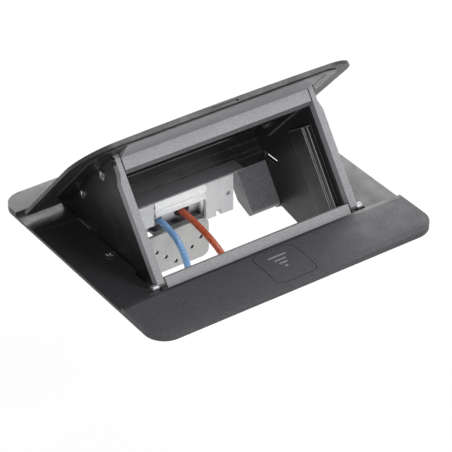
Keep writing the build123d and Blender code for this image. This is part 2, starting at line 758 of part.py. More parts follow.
def coil_arcs(r, pitch, turns):
    # two arcs for each half turn, tangent to each other and to the helix at its ends
    arcs = []
    for i in range(2 * turns):
        a, b = helix_point(r, pitch, i / 2), helix_point(r, pitch, (i + 1) / 2)
        ta, tb = helix_way(r, pitch, i / 2), helix_way(r, pitch, (i + 1) / 2)
        chord, both = b - a, ta + tb
        bend = 2 * (1 - ta.dot(tb))
        lean_in = chord.dot(both)
        reach = (math.sqrt(lean_in ** 2 + bend * chord.dot(chord)) - lean_in) / bend
        joint = (a + ta * reach + b - tb * reach) * 0.5
        arcs.append(TangentArc(a, joint, tangent=ta))
        arcs.append(TangentArc(joint, b, tangent=(b - tb * reach) - (a + ta * reach)))
    return arcs


def coil_gap(name, r, pitch, turns, wire_r):
    # least distance between the wire and itself, on points half a turn apart or more
    steps = 24
    ring = [helix_point(r, pitch, i / steps) for i in range(steps * turns + 1)]
    least = min((a - b).length for i, a in enumerate(ring) for b in ring[i + steps // 2:])
    print(name, "least gap", round(least - 2 * wire_r, 2))


def coil_tube(name, r, pitch, turns, wire_r, first_leg, last_leg):
    coil_gap(name, r, pitch, turns, wire_r)
    arcs = coil_arcs(r, pitch, turns)
    start, end = helix_point(r, pitch, 0), helix_point(r, pitch, turns)
    way_in, way_out = helix_way(r, pitch, 0), helix_way(r, pitch, turns)
    if first_leg:
        arcs = [Line(start - way_in * first_leg, start)] + arcs
    if last_leg:
        arcs = arcs + [Line(end, end + way_out * last_leg)]
    path = Wire([e for arc in arcs for e in arc.edges()])
    return sweep(Plane(origin=path @ 0, z_dir=path % 0) * RegularPolygon(wire_r, wire_sides), path=path)


# whole turns round each pin, one straight tail on the tray's wall and one on the frame's
spring = coil_tube("torsion_springs", coil_mid_r, coil_pitch, coil_turns, coil_wire_r,
                   coil_tray_leg, coil_frame_leg)
spring = Pos(coil_start_x, hinge_y, hinge_z) * Rot(0, 90, 0) * spring
save("torsion_springs", mirror_x(spring), spring)


def compression_spring(name, length, turns, r, wire_r):
    pitch = (length - 2 * wire_r) / turns
    return Pos(0, 0, wire_r) * coil_tube(name, r, pitch, turns, wire_r, 0, 0)


# ---- release button: flush with the band, a skirt below and two wedge legs
def button_prism(shrink, z0, z1):
    return round_plate(button_x0 + shrink, button_x1 - shrink, button_front_y + shrink,
                       button_rear_y - shrink, z0, z1, button_corner_r - shrink)


cap_floor_z = land_z - button_skin / 2
button = button_prism(0, button_rim_z, band_crest_z + overrun) & band_form & crown_form
button = button + button_prism(button_skirt_inset, button_skirt_z, button_rim_z)
button = button - button_prism(button_skirt_inset + button_skirt, button_skirt_z - overrun, cap_floor_z)
leg_slope = latch_travel / button_travel
for s in (-1, 1):
    x0, x1 = sorted((button_x + s * leg_x, button_x + s * (leg_x + leg_t)))
    leg_h = cap_floor_z - leg_foot_z
    leg = side_plate([(leg_rear_y, cap_floor_z), (leg_rear_y, leg_foot_z),
                      (leg_rear_y - leg_depth + leg_h * leg_slope / 2, leg_foot_z),
                      (leg_rear_y - leg_depth - leg_h * leg_slope / 2, cap_floor_z)], x0, x1)
    button = button + leg
save("release_button", button)

# ---- latch slider: a plate under the button, a riser and a nose through the band's wall
plate_foot_z = latch_plate_top_z - latch_plate_t
collar_front_y = open_front_y - collar_t
slider = span_box(-latch_plate_half_w, latch_plate_half_w, latch_plate_front_y,
                  collar_front_y - part_gap, plate_foot_z, latch_plate_top_z)
slider = slider + span_box(-latch_half_w, latch_half_w, collar_front_y - part_gap, riser_rear_y,
                           plate_foot_z, latch_plate_top_z)
slider = slider + span_box(-latch_half_w, latch_half_w, riser_front_y, riser_rear_y,
                           latch_plate_top_z, latch_top_z)
nose = side_plate([(riser_rear_y, latch_nose_z), (open_front_y + latch_out, latch_nose_z),
                   (open_front_y + latch_out - latch_nose_t / 2, latch_top_z),
                   (riser_rear_y, latch_top_z)], -latch_half_w, latch_half_w)
slider = slider + nose
for s in (-1, 1):
    x0, x1 = sorted((button_x + s * (leg_x - latch_window_gap),
                     button_x + s * (leg_x + leg_t + latch_window_gap)))
    leg_h = cap_floor_z - leg_foot_z

    def leg_front(z):
        # the leg's sloped front face at height z, with its running gap
        mid = leg_rear_y - leg_depth - leg_h * leg_slope / 2
        return mid + (cap_floor_z - z) * leg_slope - part_gap

    window = side_plate([(leg_front(latch_plate_top_z + overrun), latch_plate_top_z + overrun),
                         (leg_front(plate_foot_z - overrun), plate_foot_z - overrun),
                         (leg_rear_y + latch_travel + part_gap, plate_foot_z - overrun),
                         (leg_rear_y + latch_travel + part_gap, latch_plate_top_z + overrun)],
                        x0, x1)
    slider = slider - window
spring_clear_r = button_spring_r + button_spring_wire_r + part_gap
slider = slider - round_plate(-spring_clear_r, spring_clear_r,
                              button_spring_y - spring_clear_r,
                              button_spring_y + spring_clear_r + latch_travel,
                              plate_foot_z - overrun, latch_plate_top_z + overrun,
                              button_spring_r)
save("latch_slider", slider)

# ---- latch housing: a shallow box screwed under the band
housing_top_z = skin_z
housing_back_y = collar_front_y - part_gap


def housing_line(inset):
    # side outline of the box, with its front cut away to a slope
    return [(housing_front_y + inset, housing_top_z + inset), (housing_front_y + inset, housing_nose_z),
            (housing_slope_y + inset, housing_floor_z + inset),
            (housing_back_y + inset, housing_floor_z + inset),
            (housing_back_y + inset, housing_top_z + inset)]


housing = side_plate(housing_line(0), -housing_half_w, housing_half_w)
housing = housing - side_plate(housing_line(housing_wall), -housing_half_w + housing_wall,
                               housing_half_w - housing_wall)
# a seat for the latch spring and two ledges that carry the latch plate
seat = span_box(-latch_spring_r - housing_wall, latch_spring_r + housing_wall,
                housing_seat_y - housing_wall, housing_seat_y, housing_floor_z + housing_wall / 2,
                latch_plate_top_z)
housing = housing + (seat & side_plate(housing_line(0), -housing_half_w, housing_half_w))
for s in (-1, 1):
    x0, x1 = sorted((s * housing_ledge_x, s * (housing_half_w - housing_wall / 2)))
    housing = housing + span_box(x0, x1, latch_plate_front_y, housing_back_y,
                                 housing_floor_z + housing_wall / 2, plate_foot_z - part_gap / 2)
for s in (-1, 1):
    x0, x1 = sorted((s * (housing_half_w - housing_wall), s * (housing_half_w + housing_ear_l)))
    y_mid = (housing_front_y + housing_back_y) / 2
    tab = round_plate(x0, x1, y_mid - housing_ear_l, y_mid + housing_ear_l,
                      housing_top_z - housing_wall, housing_top_z, housing_wall / 2)
    tab = tab - span_box(-housing_half_w, housing_half_w, housing_front_y, housing_back_y,
                         housing_floor_z, housing_top_z + overrun)
    hx = s * (housing_half_w + housing_ear_l / 2)
    tab = tab - rod_z(hx, y_mid, housing_floor_z, housing_top_z + overrun, housing_screw_r)
    housing = housing + tab
save("latch_housing", housing)
housing_screws = []
for s in (-1, 1):
    hx = s * (housing_half_w + housing_ear_l / 2)
    under = housing_top_z - housing_wall
    housing_screws.append(rod_z(hx, y_mid, under - screw_head_t, under, housing_screw_head_r)
                          + rod_z(hx, y_mid, under, housing_top_z, housing_screw_r))
save("housing_screws", *housing_screws)

spring_foot_z = housing_floor_z + housing_wall
button_spring = compression_spring("button_spring", cap_floor_z - spring_foot_z, button_spring_turns,
                                   button_spring_r, button_spring_wire_r)
save("button_spring", Pos(0, button_spring_y, spring_foot_z) * button_spring)
latch_spring = compression_spring("latch_spring", latch_plate_front_y - housing_seat_y,
                                  latch_spring_turns, latch_spring_r, latch_spring_wire_r)
save("latch_spring", Pos(0, housing_seat_y, (latch_plate_top_z + plate_foot_z) / 2)
     * Rot(-90, 0, 0) * latch_spring)

# ---- clamp screws and claws
clamp_screws = []
for s in (-1, 1):
    x = s * clamp_x
    shank = rod_z(x, clamp_y, clamp_screw_foot_z, clamp_head_z, clamp_screw_r)
    clamp_screws.append(shank + rod_z(x, clamp_y, clamp_head_z, clamp_head_z + clamp_head_t,
                                      clamp_head_r))
save("clamp_screws", *clamp_screws)


def claw(s):
    # at rest the claw points to the rear, so that the frame drops through the cut-out
    x = s * clamp_x
    tip = clamp_y + claw_l
    foot = claw_top_z - claw_t
    hub = rod_z(x, clamp_y, foot, claw_top_z, claw_r)
    pad = rod_z(x, tip, claw_top_z - claw_lip_t, claw_top_z + claw_lip_t / 2, claw_tip_r)
    arm = span_box(x - claw_tip_r, x + claw_tip_r, clamp_y, tip, claw_top_z - claw_lip_t, claw_top_z)
    rib = side_plate([(clamp_y, foot), (clamp_y + claw_l * 2 / 3, claw_top_z - claw_lip_t),
                      (clamp_y, claw_top_z - claw_lip_t)], x - claw_lip_t / 2, x + claw_lip_t / 2)
    body = hub + pad + arm + rib
    return body - rod_z(x, clamp_y, foot - overrun, claw_top_z + claw_lip_t + overrun,
                        clamp_screw_r + run_gap)


save("left_claw", claw(-1))
save("right_claw", claw(1))
nuts = []
for s in (-1, 1):
    foot = claw_top_z - claw_t
    hexagon = Pos(s * clamp_x, clamp_y, foot - claw_nut_t) * RegularPolygon(claw_nut_w / 2, 6)
    nut = extrude(hexagon, amount=claw_nut_t, dir=(0, 0, 1))
    nuts.append(nut - rod_z(s * clamp_x, clamp_y, foot - claw_nut_t - overrun, foot + overrun,
                            clamp_screw_r))
save("clamp_nuts", *nuts)

# ---- connection block: it stands upright when the tray is open. In its own plane h is the drop
# below its top front edge and d the depth behind that
def block_yz(h, d):
    return face_yz(block_top_v - h * math.cos(stand) + d * math.sin(stand),
                   block_front_d + h * math.sin(stand) + d * math.cos(stand))


def block_spot(x, h, d):
    y, z = block_yz(h, d)
    return Pos(x, y, z) * Rot(open_deg, 0, 0)


def block_box(x0, x1, h0, h1, d0, d1):
    spot = block_spot((x0 + x1) / 2, (h0 + h1) / 2, (d0 + d1) / 2)
    return spot * Box(x1 - x0, d1 - d0, h1 - h0)


def block_plate(points, x0, x1):
    # its top rear corner stops at the rear wall, and clear of the wall's ridges
    plate = side_plate([block_yz(h, d) for h, d in points], x0, x1)
    plate = plate - face_box(x0 - overrun, x1 + overrun, rear_wall_foot_v,
                             rear_wall_foot_v + block_deep, cheek_rear_d, cheek_rear_d + block_deep)
    return plate - face_box(x0 - overrun, x1 + overrun, ridge_vs[0] - part_gap,
                            ridge_vs[0] + block_deep, cheek_rear_d - rear_wall_ridge - part_gap,
                            cheek_rear_d + block_deep)


def face_hole(x, h, d, r, length):
    # a rod into the block's face, level when the tray is open
    return block_spot(x, h, d + length / 2) * Rot(90, 0, 0) * Cylinder(r, length)


# a housing with a terminal pocket, between two end boxes
body_x0 = box_l_x1 + box_gap
body_x1 = box_r_x0 - box_gap
block_line = [(0, 0), (strip_mid_h, -strip_out), (strip_foot_h, 0), (strip_foot_h, strip_t),
              (pocket_top_h, strip_t), (pocket_top_h, pocket_deep), (pocket_sill_h, pocket_deep),
              (pocket_sill_h, strip_t), (block_foot_h, strip_t), (block_foot_h, block_deep),
              (0, block_deep)]
block = block_plate(block_line, body_x0, body_x1)
block = block + block_plate([(0, strip_t), (block_foot_h, strip_t), (block_foot_h, block_deep),
                             (0, block_deep)], body_x1 - pocket_wall, body_x1)
barrels = []
for wx in (blue_x, brown_x):
    block = block - face_hole(wx, entry_h, barrel_out, barrel_r, barrel_l)
    barrels.append(face_hole(wx, entry_h, barrel_out, barrel_r, barrel_l)
                   - face_hole(wx, entry_h, barrel_out - overrun, core_r + run_gap,
                               barrel_l + overrun))
save("block_housing", opened(block))
save("terminal_barrels", *[opened(b) for b in barrels])

left_box = block_plate([(left_box_foot_h, 0), (0, 0), (0, block_deep), (block_foot_h, block_deep),
                        (block_foot_h, left_box_step), (left_box_foot_h, left_box_step)],
                       block_x0, box_l_x1)
save("left_end_box", opened(left_box))
right_box = block_plate([(right_box_foot_h, 0), (0, 0), (0, block_deep),
                         (right_box_foot_h, block_deep)], box_r_x0, block_x1)
right_box = right_box - block_box(right_notch_x, right_notch_x + right_notch_w,
                                  right_box_foot_h - right_notch_h, right_box_foot_h + overrun,
                                  -overrun, block_deep + overrun)
right_box = right_box - face_hole(box_screw_x, box_screw_h, -overrun, box_screw_r, strip_t + overrun)
save("right_end_box", opened(right_box))
save("end_box_screw", opened(face_hole(box_screw_x, box_screw_h, strip_t / 2, box_screw_r,
                                       strip_t / 2)))

# clear cover over the terminals: hangs from the strip, a plain thin plate
save("clear_cover", opened(block_box(body_x0, body_x1, strip_foot_h, cover_foot_h, 0, cover_t)))

# cord plate: a thin perforated plate that hangs below the block on two tabs
px0, px1 = block_x0, plate_x1
cord_plate = block_box(px0, px1, plate_top_h, plate_foot_h, strip_t, strip_t + plate_t)
corners = [e for e in cord_plate.edges().filter_by_position(Axis.X, px1 - overrun, px1 + overrun)
           if abs(e.length - plate_t) < run_gap]
cord_plate = fillet(corners, plate_corner_r)
for sx, sh in plate_hole_shares:
    cord_plate = cord_plate - face_hole(px0 + sx * (px1 - px0),
                                        plate_foot_h - sh * (plate_foot_h - plate_top_h),
                                        strip_t - overrun, plate_hole_r, plate_t + 2 * overrun)
for x0 in (px0, plate_neck_x0):
    cord_plate = cord_plate + block_box(x0, x0 + plate_neck_x1 - plate_neck_x0, block_foot_h,
                                        plate_top_h + plate_t, strip_t + plate_t / 2, block_deep)
save("cord_plate", opened(cord_plate))


# ---- wires: straight runs joined by tangent arcs
def route_tube(points, r, name):
    vectors = [Vector(*p) for p in points]
    radii = []
    for a, b, c in zip(vectors, vectors[1:], vectors[2:]):
        turn = math.radians((b - a).get_angle(c - b))
        shorter = min((b - a).length, (c - b).length)
        radii.append(0.45 * shorter / math.tan(turn / 2))
    print(name, "radii", [round(q, 1) for q in radii])
    path = FilletPolyline(*[tuple(p) for p in points], radius=radii)
    tube = sweep(Plane(origin=path @ 0, z_dir=path % 0) * Circle(r), path=path)
    print(name, "length", round(path.length, 1), "volume", round(tube.volume, 2), "of",
          round(path.length * math.pi * r ** 2, 2))
    return tube, path


def from_terminal(x, steps):
    # a route that starts in the terminal pocket, level when the tray is open
    start = opened(block_spot(x, entry_h, sleeve_in)).position
    points = [(start.X + dx, start.Y + dy, start.Z + dz) for dx, dy, dz in steps]
    print("route", [tuple(round(c, 2) for c in point) for point in points])
    return points


def end_core(path, at, l_out):
    along = path % at
    way = along if at else Vector(0, 0, 0) - along
    return extrude(Plane(origin=path @ at, z_dir=way) * Circle(core_r), amount=l_out, dir=way)


blue_tube, blue_path = route_tube(from_terminal(blue_x, blue_steps), wire_r, "blue_wire")
brown_tube, brown_path = route_tube(from_terminal(brown_x, brown_steps), wire_r, "brown_wire")
save("blue_wire", blue_tube)
save("brown_wire", brown_tube)
save("blue_wire_cores", end_core(blue_path, 0, core_in_l), end_core(blue_path, 1, core_bare_l))
save("brown_wire_cores", end_core(brown_path, 0, core_in_l), end_core(brown_path, 1, core_bare_l))
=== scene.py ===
import math
import bmesh
import bpy
from mathutils import Matrix, Vector
from mathutils.bvhtree import BVHTree


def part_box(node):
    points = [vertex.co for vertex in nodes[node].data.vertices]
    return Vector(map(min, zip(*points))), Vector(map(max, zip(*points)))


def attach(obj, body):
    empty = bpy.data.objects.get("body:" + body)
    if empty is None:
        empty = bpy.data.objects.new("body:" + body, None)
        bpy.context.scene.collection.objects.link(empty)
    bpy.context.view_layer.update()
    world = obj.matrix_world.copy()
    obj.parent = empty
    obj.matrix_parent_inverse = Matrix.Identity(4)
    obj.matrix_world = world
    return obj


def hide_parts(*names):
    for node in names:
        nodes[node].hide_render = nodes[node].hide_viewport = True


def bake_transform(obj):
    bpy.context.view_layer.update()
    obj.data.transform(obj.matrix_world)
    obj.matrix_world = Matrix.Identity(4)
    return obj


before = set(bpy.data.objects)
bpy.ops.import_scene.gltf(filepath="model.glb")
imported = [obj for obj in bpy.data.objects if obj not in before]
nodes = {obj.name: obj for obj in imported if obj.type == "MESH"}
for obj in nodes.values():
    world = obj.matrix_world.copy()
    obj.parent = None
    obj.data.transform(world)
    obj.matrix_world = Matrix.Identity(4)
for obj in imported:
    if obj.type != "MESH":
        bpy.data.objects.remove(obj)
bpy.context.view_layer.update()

# The camera: it stands to the front left and well above the desk unit, far off behind a long
# lens, so that the frame's sides run nearly parallel as they do in the photograph.
look_at = Vector((-0.00073, -0.00786, 0.0))
camera_azimuth = math.radians(-34.649)
camera_elevation = math.radians(34.571)
camera_roll = math.radians(-0.222)
camera_distance = 1.0596
camera_lens = 188.8
camera_sensor = 36


def placed(name, data):
    # an object with this name in the scene, at the origin
    thing = bpy.data.objects.new(name, data)
    bpy.context.collection.objects.link(thing)
    return thing


camera_back = Vector((math.sin(camera_azimuth) * math.cos(camera_elevation),
                      -math.cos(camera_azimuth) * math.cos(camera_elevation),
                      math.sin(camera_elevation)))
camera_data = bpy.data.cameras.new("camera")
camera_data.lens = camera_lens
camera_data.sensor_width = camera_sensor
camera = placed("camera", camera_data)
camera.rotation_mode = "QUATERNION"
camera.rotation_quaternion = (camera_back.to_track_quat("Z", "Y")
                              @ Matrix.Rotation(camera_roll, 3, "Z").to_quaternion())
camera.location = look_at + camera_back * camera_distance
bpy.context.scene.camera = camera
bpy.context.scene.view_settings.view_transform = "Standard"

# The two supply wires: single stranded copper wires in smooth PVC sleeves, one blue and one
# red brown. Each leaves its terminal level, bends down in front of the cord plate and hangs free.
mm = 0.001
wire_diameter = 0.0032
wire_steps = 16
wire_facets = 7
blue_route = ((-13.0, 29.43, -12.18), (-13.0, 21.03, -12.18), (-12.8, 12.63, -15.28),
              (-12.0, 7.63, -22.68), (-11.6, 5.63, -31.48), (-11.4, 5.43, -40.28))
brown_route = ((-0.4, 29.43, -12.18), (-0.4, 20.63, -12.18), (-0.1, 11.63, -13.68),
               (1.2, 3.63, -17.28), (3.2, -2.17, -23.48), (4.2, -3.57, -31.98))


def new_material(name):
    material = bpy.data.materials.new(name)
    material.use_nodes = True
    tree = material.node_tree
    return material, tree, tree.nodes["Principled BSDF"]


def new_group(name, inputs, outputs):
    # an effect that several materials share, with named inputs and outputs
    tree = bpy.data.node_groups.new(name, "ShaderNodeTree")
    for label, kind, value in inputs:
        tree.interface.new_socket(label, in_out="INPUT", socket_type=kind).default_value = value
    for label, kind in outputs:
        tree.interface.new_socket(label, in_out="OUTPUT", socket_type=kind)
    return tree, tree.nodes.new("NodeGroupInput"), tree.nodes.new("NodeGroupOutput")


def set_values(node, **values):
    # the node's sockets of these names get these values
    for label, value in values.items():
        node.inputs[label.replace("_", " ")].default_value = value


def add_node(tree, kind, **values):
    node = tree.nodes.new(kind)
    set_values(node, **values)
    return node


def join_sockets(tree, *pairs):
    for source, target in pairs:
        tree.links.new(source, target)


# fine grain of a moulded or painted skin, with the soft blotches that make gloss uneven
grains_per_metre = 1900
grain_depth = 0.00005
blotches_per_metre = 150
grain_tree, grain_in, grain_out = new_group(
    "skin grain",
    [("Grains per metre", "NodeSocketFloat", grains_per_metre),
     ("Depth", "NodeSocketFloat", grain_depth),
     ("Smooth", "NodeSocketFloat", 0.35), ("Dull", "NodeSocketFloat", 0.5),
     ("Dark", "NodeSocketColor", (0, 0, 0, 1)), ("Light", "NodeSocketColor", (1, 1, 1, 1))],
    [("Color", "NodeSocketColor"), ("Roughness", "NodeSocketFloat"),
     ("Normal", "NodeSocketVector")])
place = add_node(grain_tree, "ShaderNodeTexCoord")
grains = add_node(grain_tree, "ShaderNodeTexNoise", Detail=3)
blotches = add_node(grain_tree, "ShaderNodeTexNoise", Scale=blotches_per_metre, Detail=4)
relief = add_node(grain_tree, "ShaderNodeBump")
gloss_range = add_node(grain_tree, "ShaderNodeMapRange", From_Min=0.35, From_Max=0.65)
mottle = add_node(grain_tree, "ShaderNodeMapRange", From_Min=0.32, From_Max=0.68)
shade = add_node(grain_tree, "ShaderNodeMix")
shade.data_type = "RGBA"
join_sockets(grain_tree,
             (place.outputs["Object"], grains.inputs["Vector"]),
             (place.outputs["Object"], blotches.inputs["Vector"]),
             (grain_in.outputs["Grains per metre"], grains.inputs["Scale"]),
             (grains.outputs["Fac"], relief.inputs["Height"]),
             (grain_in.outputs["Depth"], relief.inputs["Distance"]),
             (blotches.outputs["Fac"], gloss_range.inputs["Value"]),
             (grain_in.outputs["Smooth"], gloss_range.inputs["To Min"]),
             (grain_in.outputs["Dull"], gloss_range.inputs["To Max"]),
             (grains.outputs["Fac"], mottle.inputs["Value"]),
             (mottle.outputs["Result"], shade.inputs["Factor"]),
             (grain_in.outputs["Dark"], shade.inputs["A"]),
             (grain_in.outputs["Light"], shade.inputs["B"]),
             (shade.outputs["Result"], grain_out.inputs["Color"]),
             (gloss_range.outputs["Result"], grain_out.inputs["Roughness"]),
             (relief.outputs["Normal"], grain_out.inputs["Normal"]))


def grain_node(tree, **values):
    # the shared grain, with this material's own values
    grain = tree.nodes.new("ShaderNodeGroup")
    grain.node_tree = grain_tree
    set_values(grain, **values)
    return grain


def skin(name, dark, light, smooth, dull, grains=grains_per_metre, depth=grain_depth, metal=0):
    # a moulded, painted or plated skin: two close shades, uneven gloss and a fine grain
    material, tree, surface = new_material(name)
    surface.inputs["Metallic"].default_value = metal
    grain = grain_node(tree, Grains_per_metre=grains, Depth=depth, Smooth=smooth, Dull=dull,
                       Dark=(*dark, 1), Light=(*light, 1))
    join_sockets(tree,
                 (grain.outputs["Color"], surface.inputs["Base Color"]),
                 (grain.outputs["Roughness"], surface.inputs["Roughness"]),
                 (grain.outputs["Normal"], surface.inputs["Normal"]))
    return material


def round_curve(name, radius, facets, material):
    # a line that is swept into a round wire with closed ends
    curve = bpy.data.curves.new(name, "CURVE")
    curve.dimensions = "3D"
    curve.bevel_depth = radius
    curve.bevel_resolution = facets
    curve.use_fill_caps = True
    curve.materials.append(material)
    return curve


def sleeved_wire(name, route, sleeve):
    curve = round_curve(name, wire_diameter / 2, wire_facets, sleeve)
    spline = curve.splines.new("NURBS")
    spline.points.add(len(route) - 1)
    for point, spot in zip(spline.points, route):
        point.co = (*(Vector(spot) * mm), 1)
    spline.order_u = 3
    spline.use_endpoint_u = True
    curve.resolution_u = wire_steps
    wire = placed(name, curve)
    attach(wire, "tray")
    return wire


blue_sleeve = skin("blue sleeve", (0.13, 0.27, 0.50), (0.24, 0.42, 0.68), 0.28, 0.42,
                   grains=900, depth=0.00004)
brown_sleeve = skin("brown sleeve", (0.36, 0.055, 0.02), (0.56, 0.12, 0.05), 0.28, 0.42,
                    grains=900, depth=0.00004)

# The bared ends: a twist of seven fine copper strands, cut a little unevenly, at the far end of
# each wire, and the straight stub that the terminal holds.
strand_radius = 0.00026
strand_facets = 2
strand_steps = 6
strands_round = 6
strand_twist = 70
uneven_cut = 0.02
bare_length = 0.008
stub_length = 0.0036
copper = skin("bare copper", (0.62, 0.26, 0.12), (0.90, 0.48, 0.28), 0.2, 0.4,
              grains=3000, depth=0.00001, metal=1)


def strands(name, route, node):
    # six strands laid round a seventh, at both ends of the wire's route
    curve = round_curve(name, strand_radius, strand_facets, copper)
    last, first = [Vector(p) * mm for p in route[-2:]], [Vector(p) * mm for p in route[:2]]
    for (inner, outer), length in (((last[0], last[1]), bare_length),
                                   ((first[1], first[0]), stub_length)):
        way = (outer - inner).normalized()
        side = way.orthogonal().normalized()
        for i in range(strands_round + 1):
            spline = curve.splines.new("POLY")
            spline.points.add(strand_steps)
            ring = side * (0 if i == strands_round else strand_radius * 2)
            for k, point in enumerate(spline.points):
                share = k / strand_steps
                angle = 360 / strands_round * i + strand_twist * share
                turn = Matrix.Rotation(math.radians(angle), 3, way)
                reach = length * share * (1 - uneven_cut * (i % 3))
                point.co = (*(outer + way * reach + turn @ ring), 1)
    twist = placed(name, curve)
    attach(twist, "tray")
    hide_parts(node)
    return twist


blue_ends = strands("blue_strands", blue_route, "blue_wire_cores")
brown_ends = strands("brown_strands", brown_route, "brown_wire_cores")
for name, route, sleeve, ends, length in (
        ("blue_lead", blue_route, blue_sleeve, blue_ends, 0.0437),
        ("brown_lead", brown_route, brown_sleeve, brown_ends, 0.0438)):
    wire = sleeved_wire(name, route, sleeve)
    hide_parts(name.split("_")[0] + "_wire")

# The base frame: one moulding in satin anthracite, with a domed band front and rear, low lands
# at the sides and a deep collar round the opening. Its edges are rounded as the mould leaves them,
# and get a painted highlight. Its front band has a rougher skin than the lands, painted paler to
# stand in for the light that the standing lid keeps off it.
same_spot = 0.000002
flat_bend = 0.4
sharp_bend = math.radians(30)
band_rear = -0.0388


def merged_copy(node, flat=flat_bend):
    # the piece's shape with its loose triangles joined into whole faces, where they lie flat
    shell = bmesh.new()
    shell.from_mesh(nodes[node].data)
    bmesh.ops.remove_doubles(shell, verts=shell.verts, dist=same_spot)
    if flat:
        bmesh.ops.dissolve_limit(shell, angle_limit=math.radians(flat), verts=shell.verts,
                                 edges=shell.edges)
    return shell


def built(name, shell, material):
    # the shape in the bmesh as an object in this material
    mesh = bpy.data.meshes.new(name)
    shell.to_mesh(mesh)
    shell.free()
    mesh.materials.append(material)
    return placed(name, mesh)


def round_edges(piece, rounding, steps=2):
    # every edge where two faces meet at more than the sharp bend is rounded by this much
    edge = piece.modifiers.new("rounded edges", "BEVEL")
    edge.width = rounding
    edge.segments = steps
    edge.limit_method = "ANGLE"
    edge.angle_limit = sharp_bend
    return edge


def softened(node, body, material, rounding, steps=2, shell=None, painted_light=None):
    # a moulded or folded piece with its sharp edges rounded to the real radius, where a second
    # material, if given, is painted light: a highlight on the rounded edges, and a shade on faces
    # set to it
    piece = built(node + "_shell", shell or merged_copy(node), material)
    piece.data.shade_smooth()
    edge = round_edges(piece, rounding, steps)
    if painted_light:
        piece.data.materials.append(painted_light)
        edge.material = 1
    even = piece.modifiers.new("even shading", "WEIGHTED_NORMAL")
    even.keep_sharp = True
    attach(piece, body)
    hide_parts(node)
    return piece


def place_along(tree, axis):
    # how far along this axis a spot on the piece lies
    place = tree.nodes.new("ShaderNodeTexCoord")
    axes = tree.nodes.new("ShaderNodeSeparateXYZ")
    tree.links.new(place.outputs["Object"], axes.inputs["Vector"])
    return axes.outputs[axis]


def worked_out(tree, operation, first, second):
    # the result of a sum or a comparison, whose second value is a number or another result
    step = tree.nodes.new("ShaderNodeMath")
    step.operation = operation
    tree.links.new(first, step.inputs[0])
    if isinstance(second, bpy.types.NodeSocket):
        tree.links.new(second, step.inputs[1])
    else:
        step.inputs[1].default_value = second
    return step.outputs[0]


def refinished(tree, label, mask, other):
    # where the mask is 1, this socket of the surface takes another colour or value than its skin's
    socket = tree.nodes["Principled BSDF"].inputs[label]
    mix = tree.nodes.new("ShaderNodeMix")
    mix.data_type = "RGBA" if label == "Base Color" else "FLOAT"
    join_sockets(tree, (mask, mix.inputs["Factor"]), (socket.links[0].from_socket, mix.inputs["A"]))
    if isinstance(other, bpy.types.NodeSocket):
        tree.links.new(other, mix.inputs["B"])
    else:
        mix.inputs["B"].default_value = (*other, 1)
    tree.links.new(mix.outputs["Result"], socket)


# the frame's rounded edges are painted light grey, a painted highlight for the light they catch
frame_edge_highlight = skin("painted frame edge highlight", (0.07, 0.07, 0.074), (0.14, 0.14, 0.145),
                     0.3, 0.4)
frame_skin = skin("frame anthracite", (0.016, 0.016, 0.018), (0.031, 0.031, 0.034), 0.40, 0.50)
frame_tree = frame_skin.node_tree
# the front band has its own rougher grain, and a paler colour that is painted light, lifting it
# where the standing lid keeps the lamps off it
in_band = worked_out(frame_tree, "LESS_THAN", place_along(frame_tree, "Y"), band_rear)
band_grain_painted_paler = grain_node(frame_tree, Smooth=0.58, Dull=0.68, Dark=(0.032, 0.032, 0.037, 1),
                        Light=(0.066, 0.066, 0.073, 1))
refinished(frame_tree, "Base Color", in_band, band_grain_painted_paler.outputs["Color"])
refinished(frame_tree, "Roughness", in_band, band_grain_painted_paler.outputs["Roughness"])
softened("base_frame", "frame", frame_skin, rounding=0.0004, steps=3, painted_light=frame_edge_highlight)

# The gasket: a thin ring of black cellular rubber, cut from sheet and glued under the flange, which
# seals the frame to the desk top.
rubber_and_entry_shade = skin("cellular rubber and entry shade", (0.010, 0.010, 0.010), (0.024, 0.024, 0.024), 0.7, 0.9,
              grains=1800, depth=0.00006)


def finish_node(node, material):
    # the modelled shape stays and takes this finish
    mesh = nodes[node].data
    mesh.materials.clear()
    mesh.materials.append(material)


finish_node("flange_gasket", rubber_and_entry_shade)

# The release button: it sits flush in the front band, in the same satin moulding, and carries
# four raised bars that shorten towards the front, the sign for where to press.
mark_rows = ((-45.3, -4.7, 4.8), (-48.1, -3.2, 3.0), (-50.6, -2.3, 2.1), (-53.1, -1.1, 0.7))
mark_width = 0.0009
mark_height = 0.00022
mark_round = mark_width * 0.45
well_above = 0.02
mark_grey = skin("mark grey", (0.16, 0.16, 0.165), (0.25, 0.25, 0.255), 0.35, 0.5)
softened("release_button", "button", frame_skin, rounding=0.0002,
         shell=merged_copy("release_button", 0))
cap = bmesh.new()
cap.from_mesh(nodes["release_button"].data)
cap_surface = BVHTree.FromBMesh(cap)
cap.free()
# each bar stands on the button's dome, half sunk into it
mark = bmesh.new()
for row_y, left_x, right_x in mark_rows:
    bar = bmesh.ops.create_cube(mark, size=1)["verts"]
    middle = Vector(((left_x + right_x) / 2 * mm, row_y * mm, 0))
    top = cap_surface.ray_cast(middle + Vector((0, 0, well_above)), Vector((0, 0, -1)))[0].z
    bmesh.ops.scale(mark, vec=((right_x - left_x) * mm, mark_width, mark_height * 2), verts=bar)
    bmesh.ops.translate(mark, vec=(middle.x, middle.y, top), verts=bar)
upright = [e for e in mark.edges if abs((e.verts[0].co - e.verts[1].co).z) > mark_height]
bmesh.ops.bevel(mark, geom=upright, offset=mark_round, segments=4, profile=0.5,
                affect="EDGES", material=-1)
push_mark = built("push_mark", mark, mark_grey)
round_edges(push_mark, rounding=0.00008)
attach(push_mark, "button")

# The latch and its housing: a sliding plate under the button, in a shallow moulded box that is
# screwed up against the flange. The parts are plain black mouldings, out of sight in use.
plain_black = skin("plain black moulding", (0.012, 0.012, 0.013), (0.022, 0.022, 0.024),
                   0.45, 0.6)
softened("latch_slider", "latch", plain_black, rounding=0.00015)
softened("latch_housing", "frame", plain_black, rounding=0.0002)

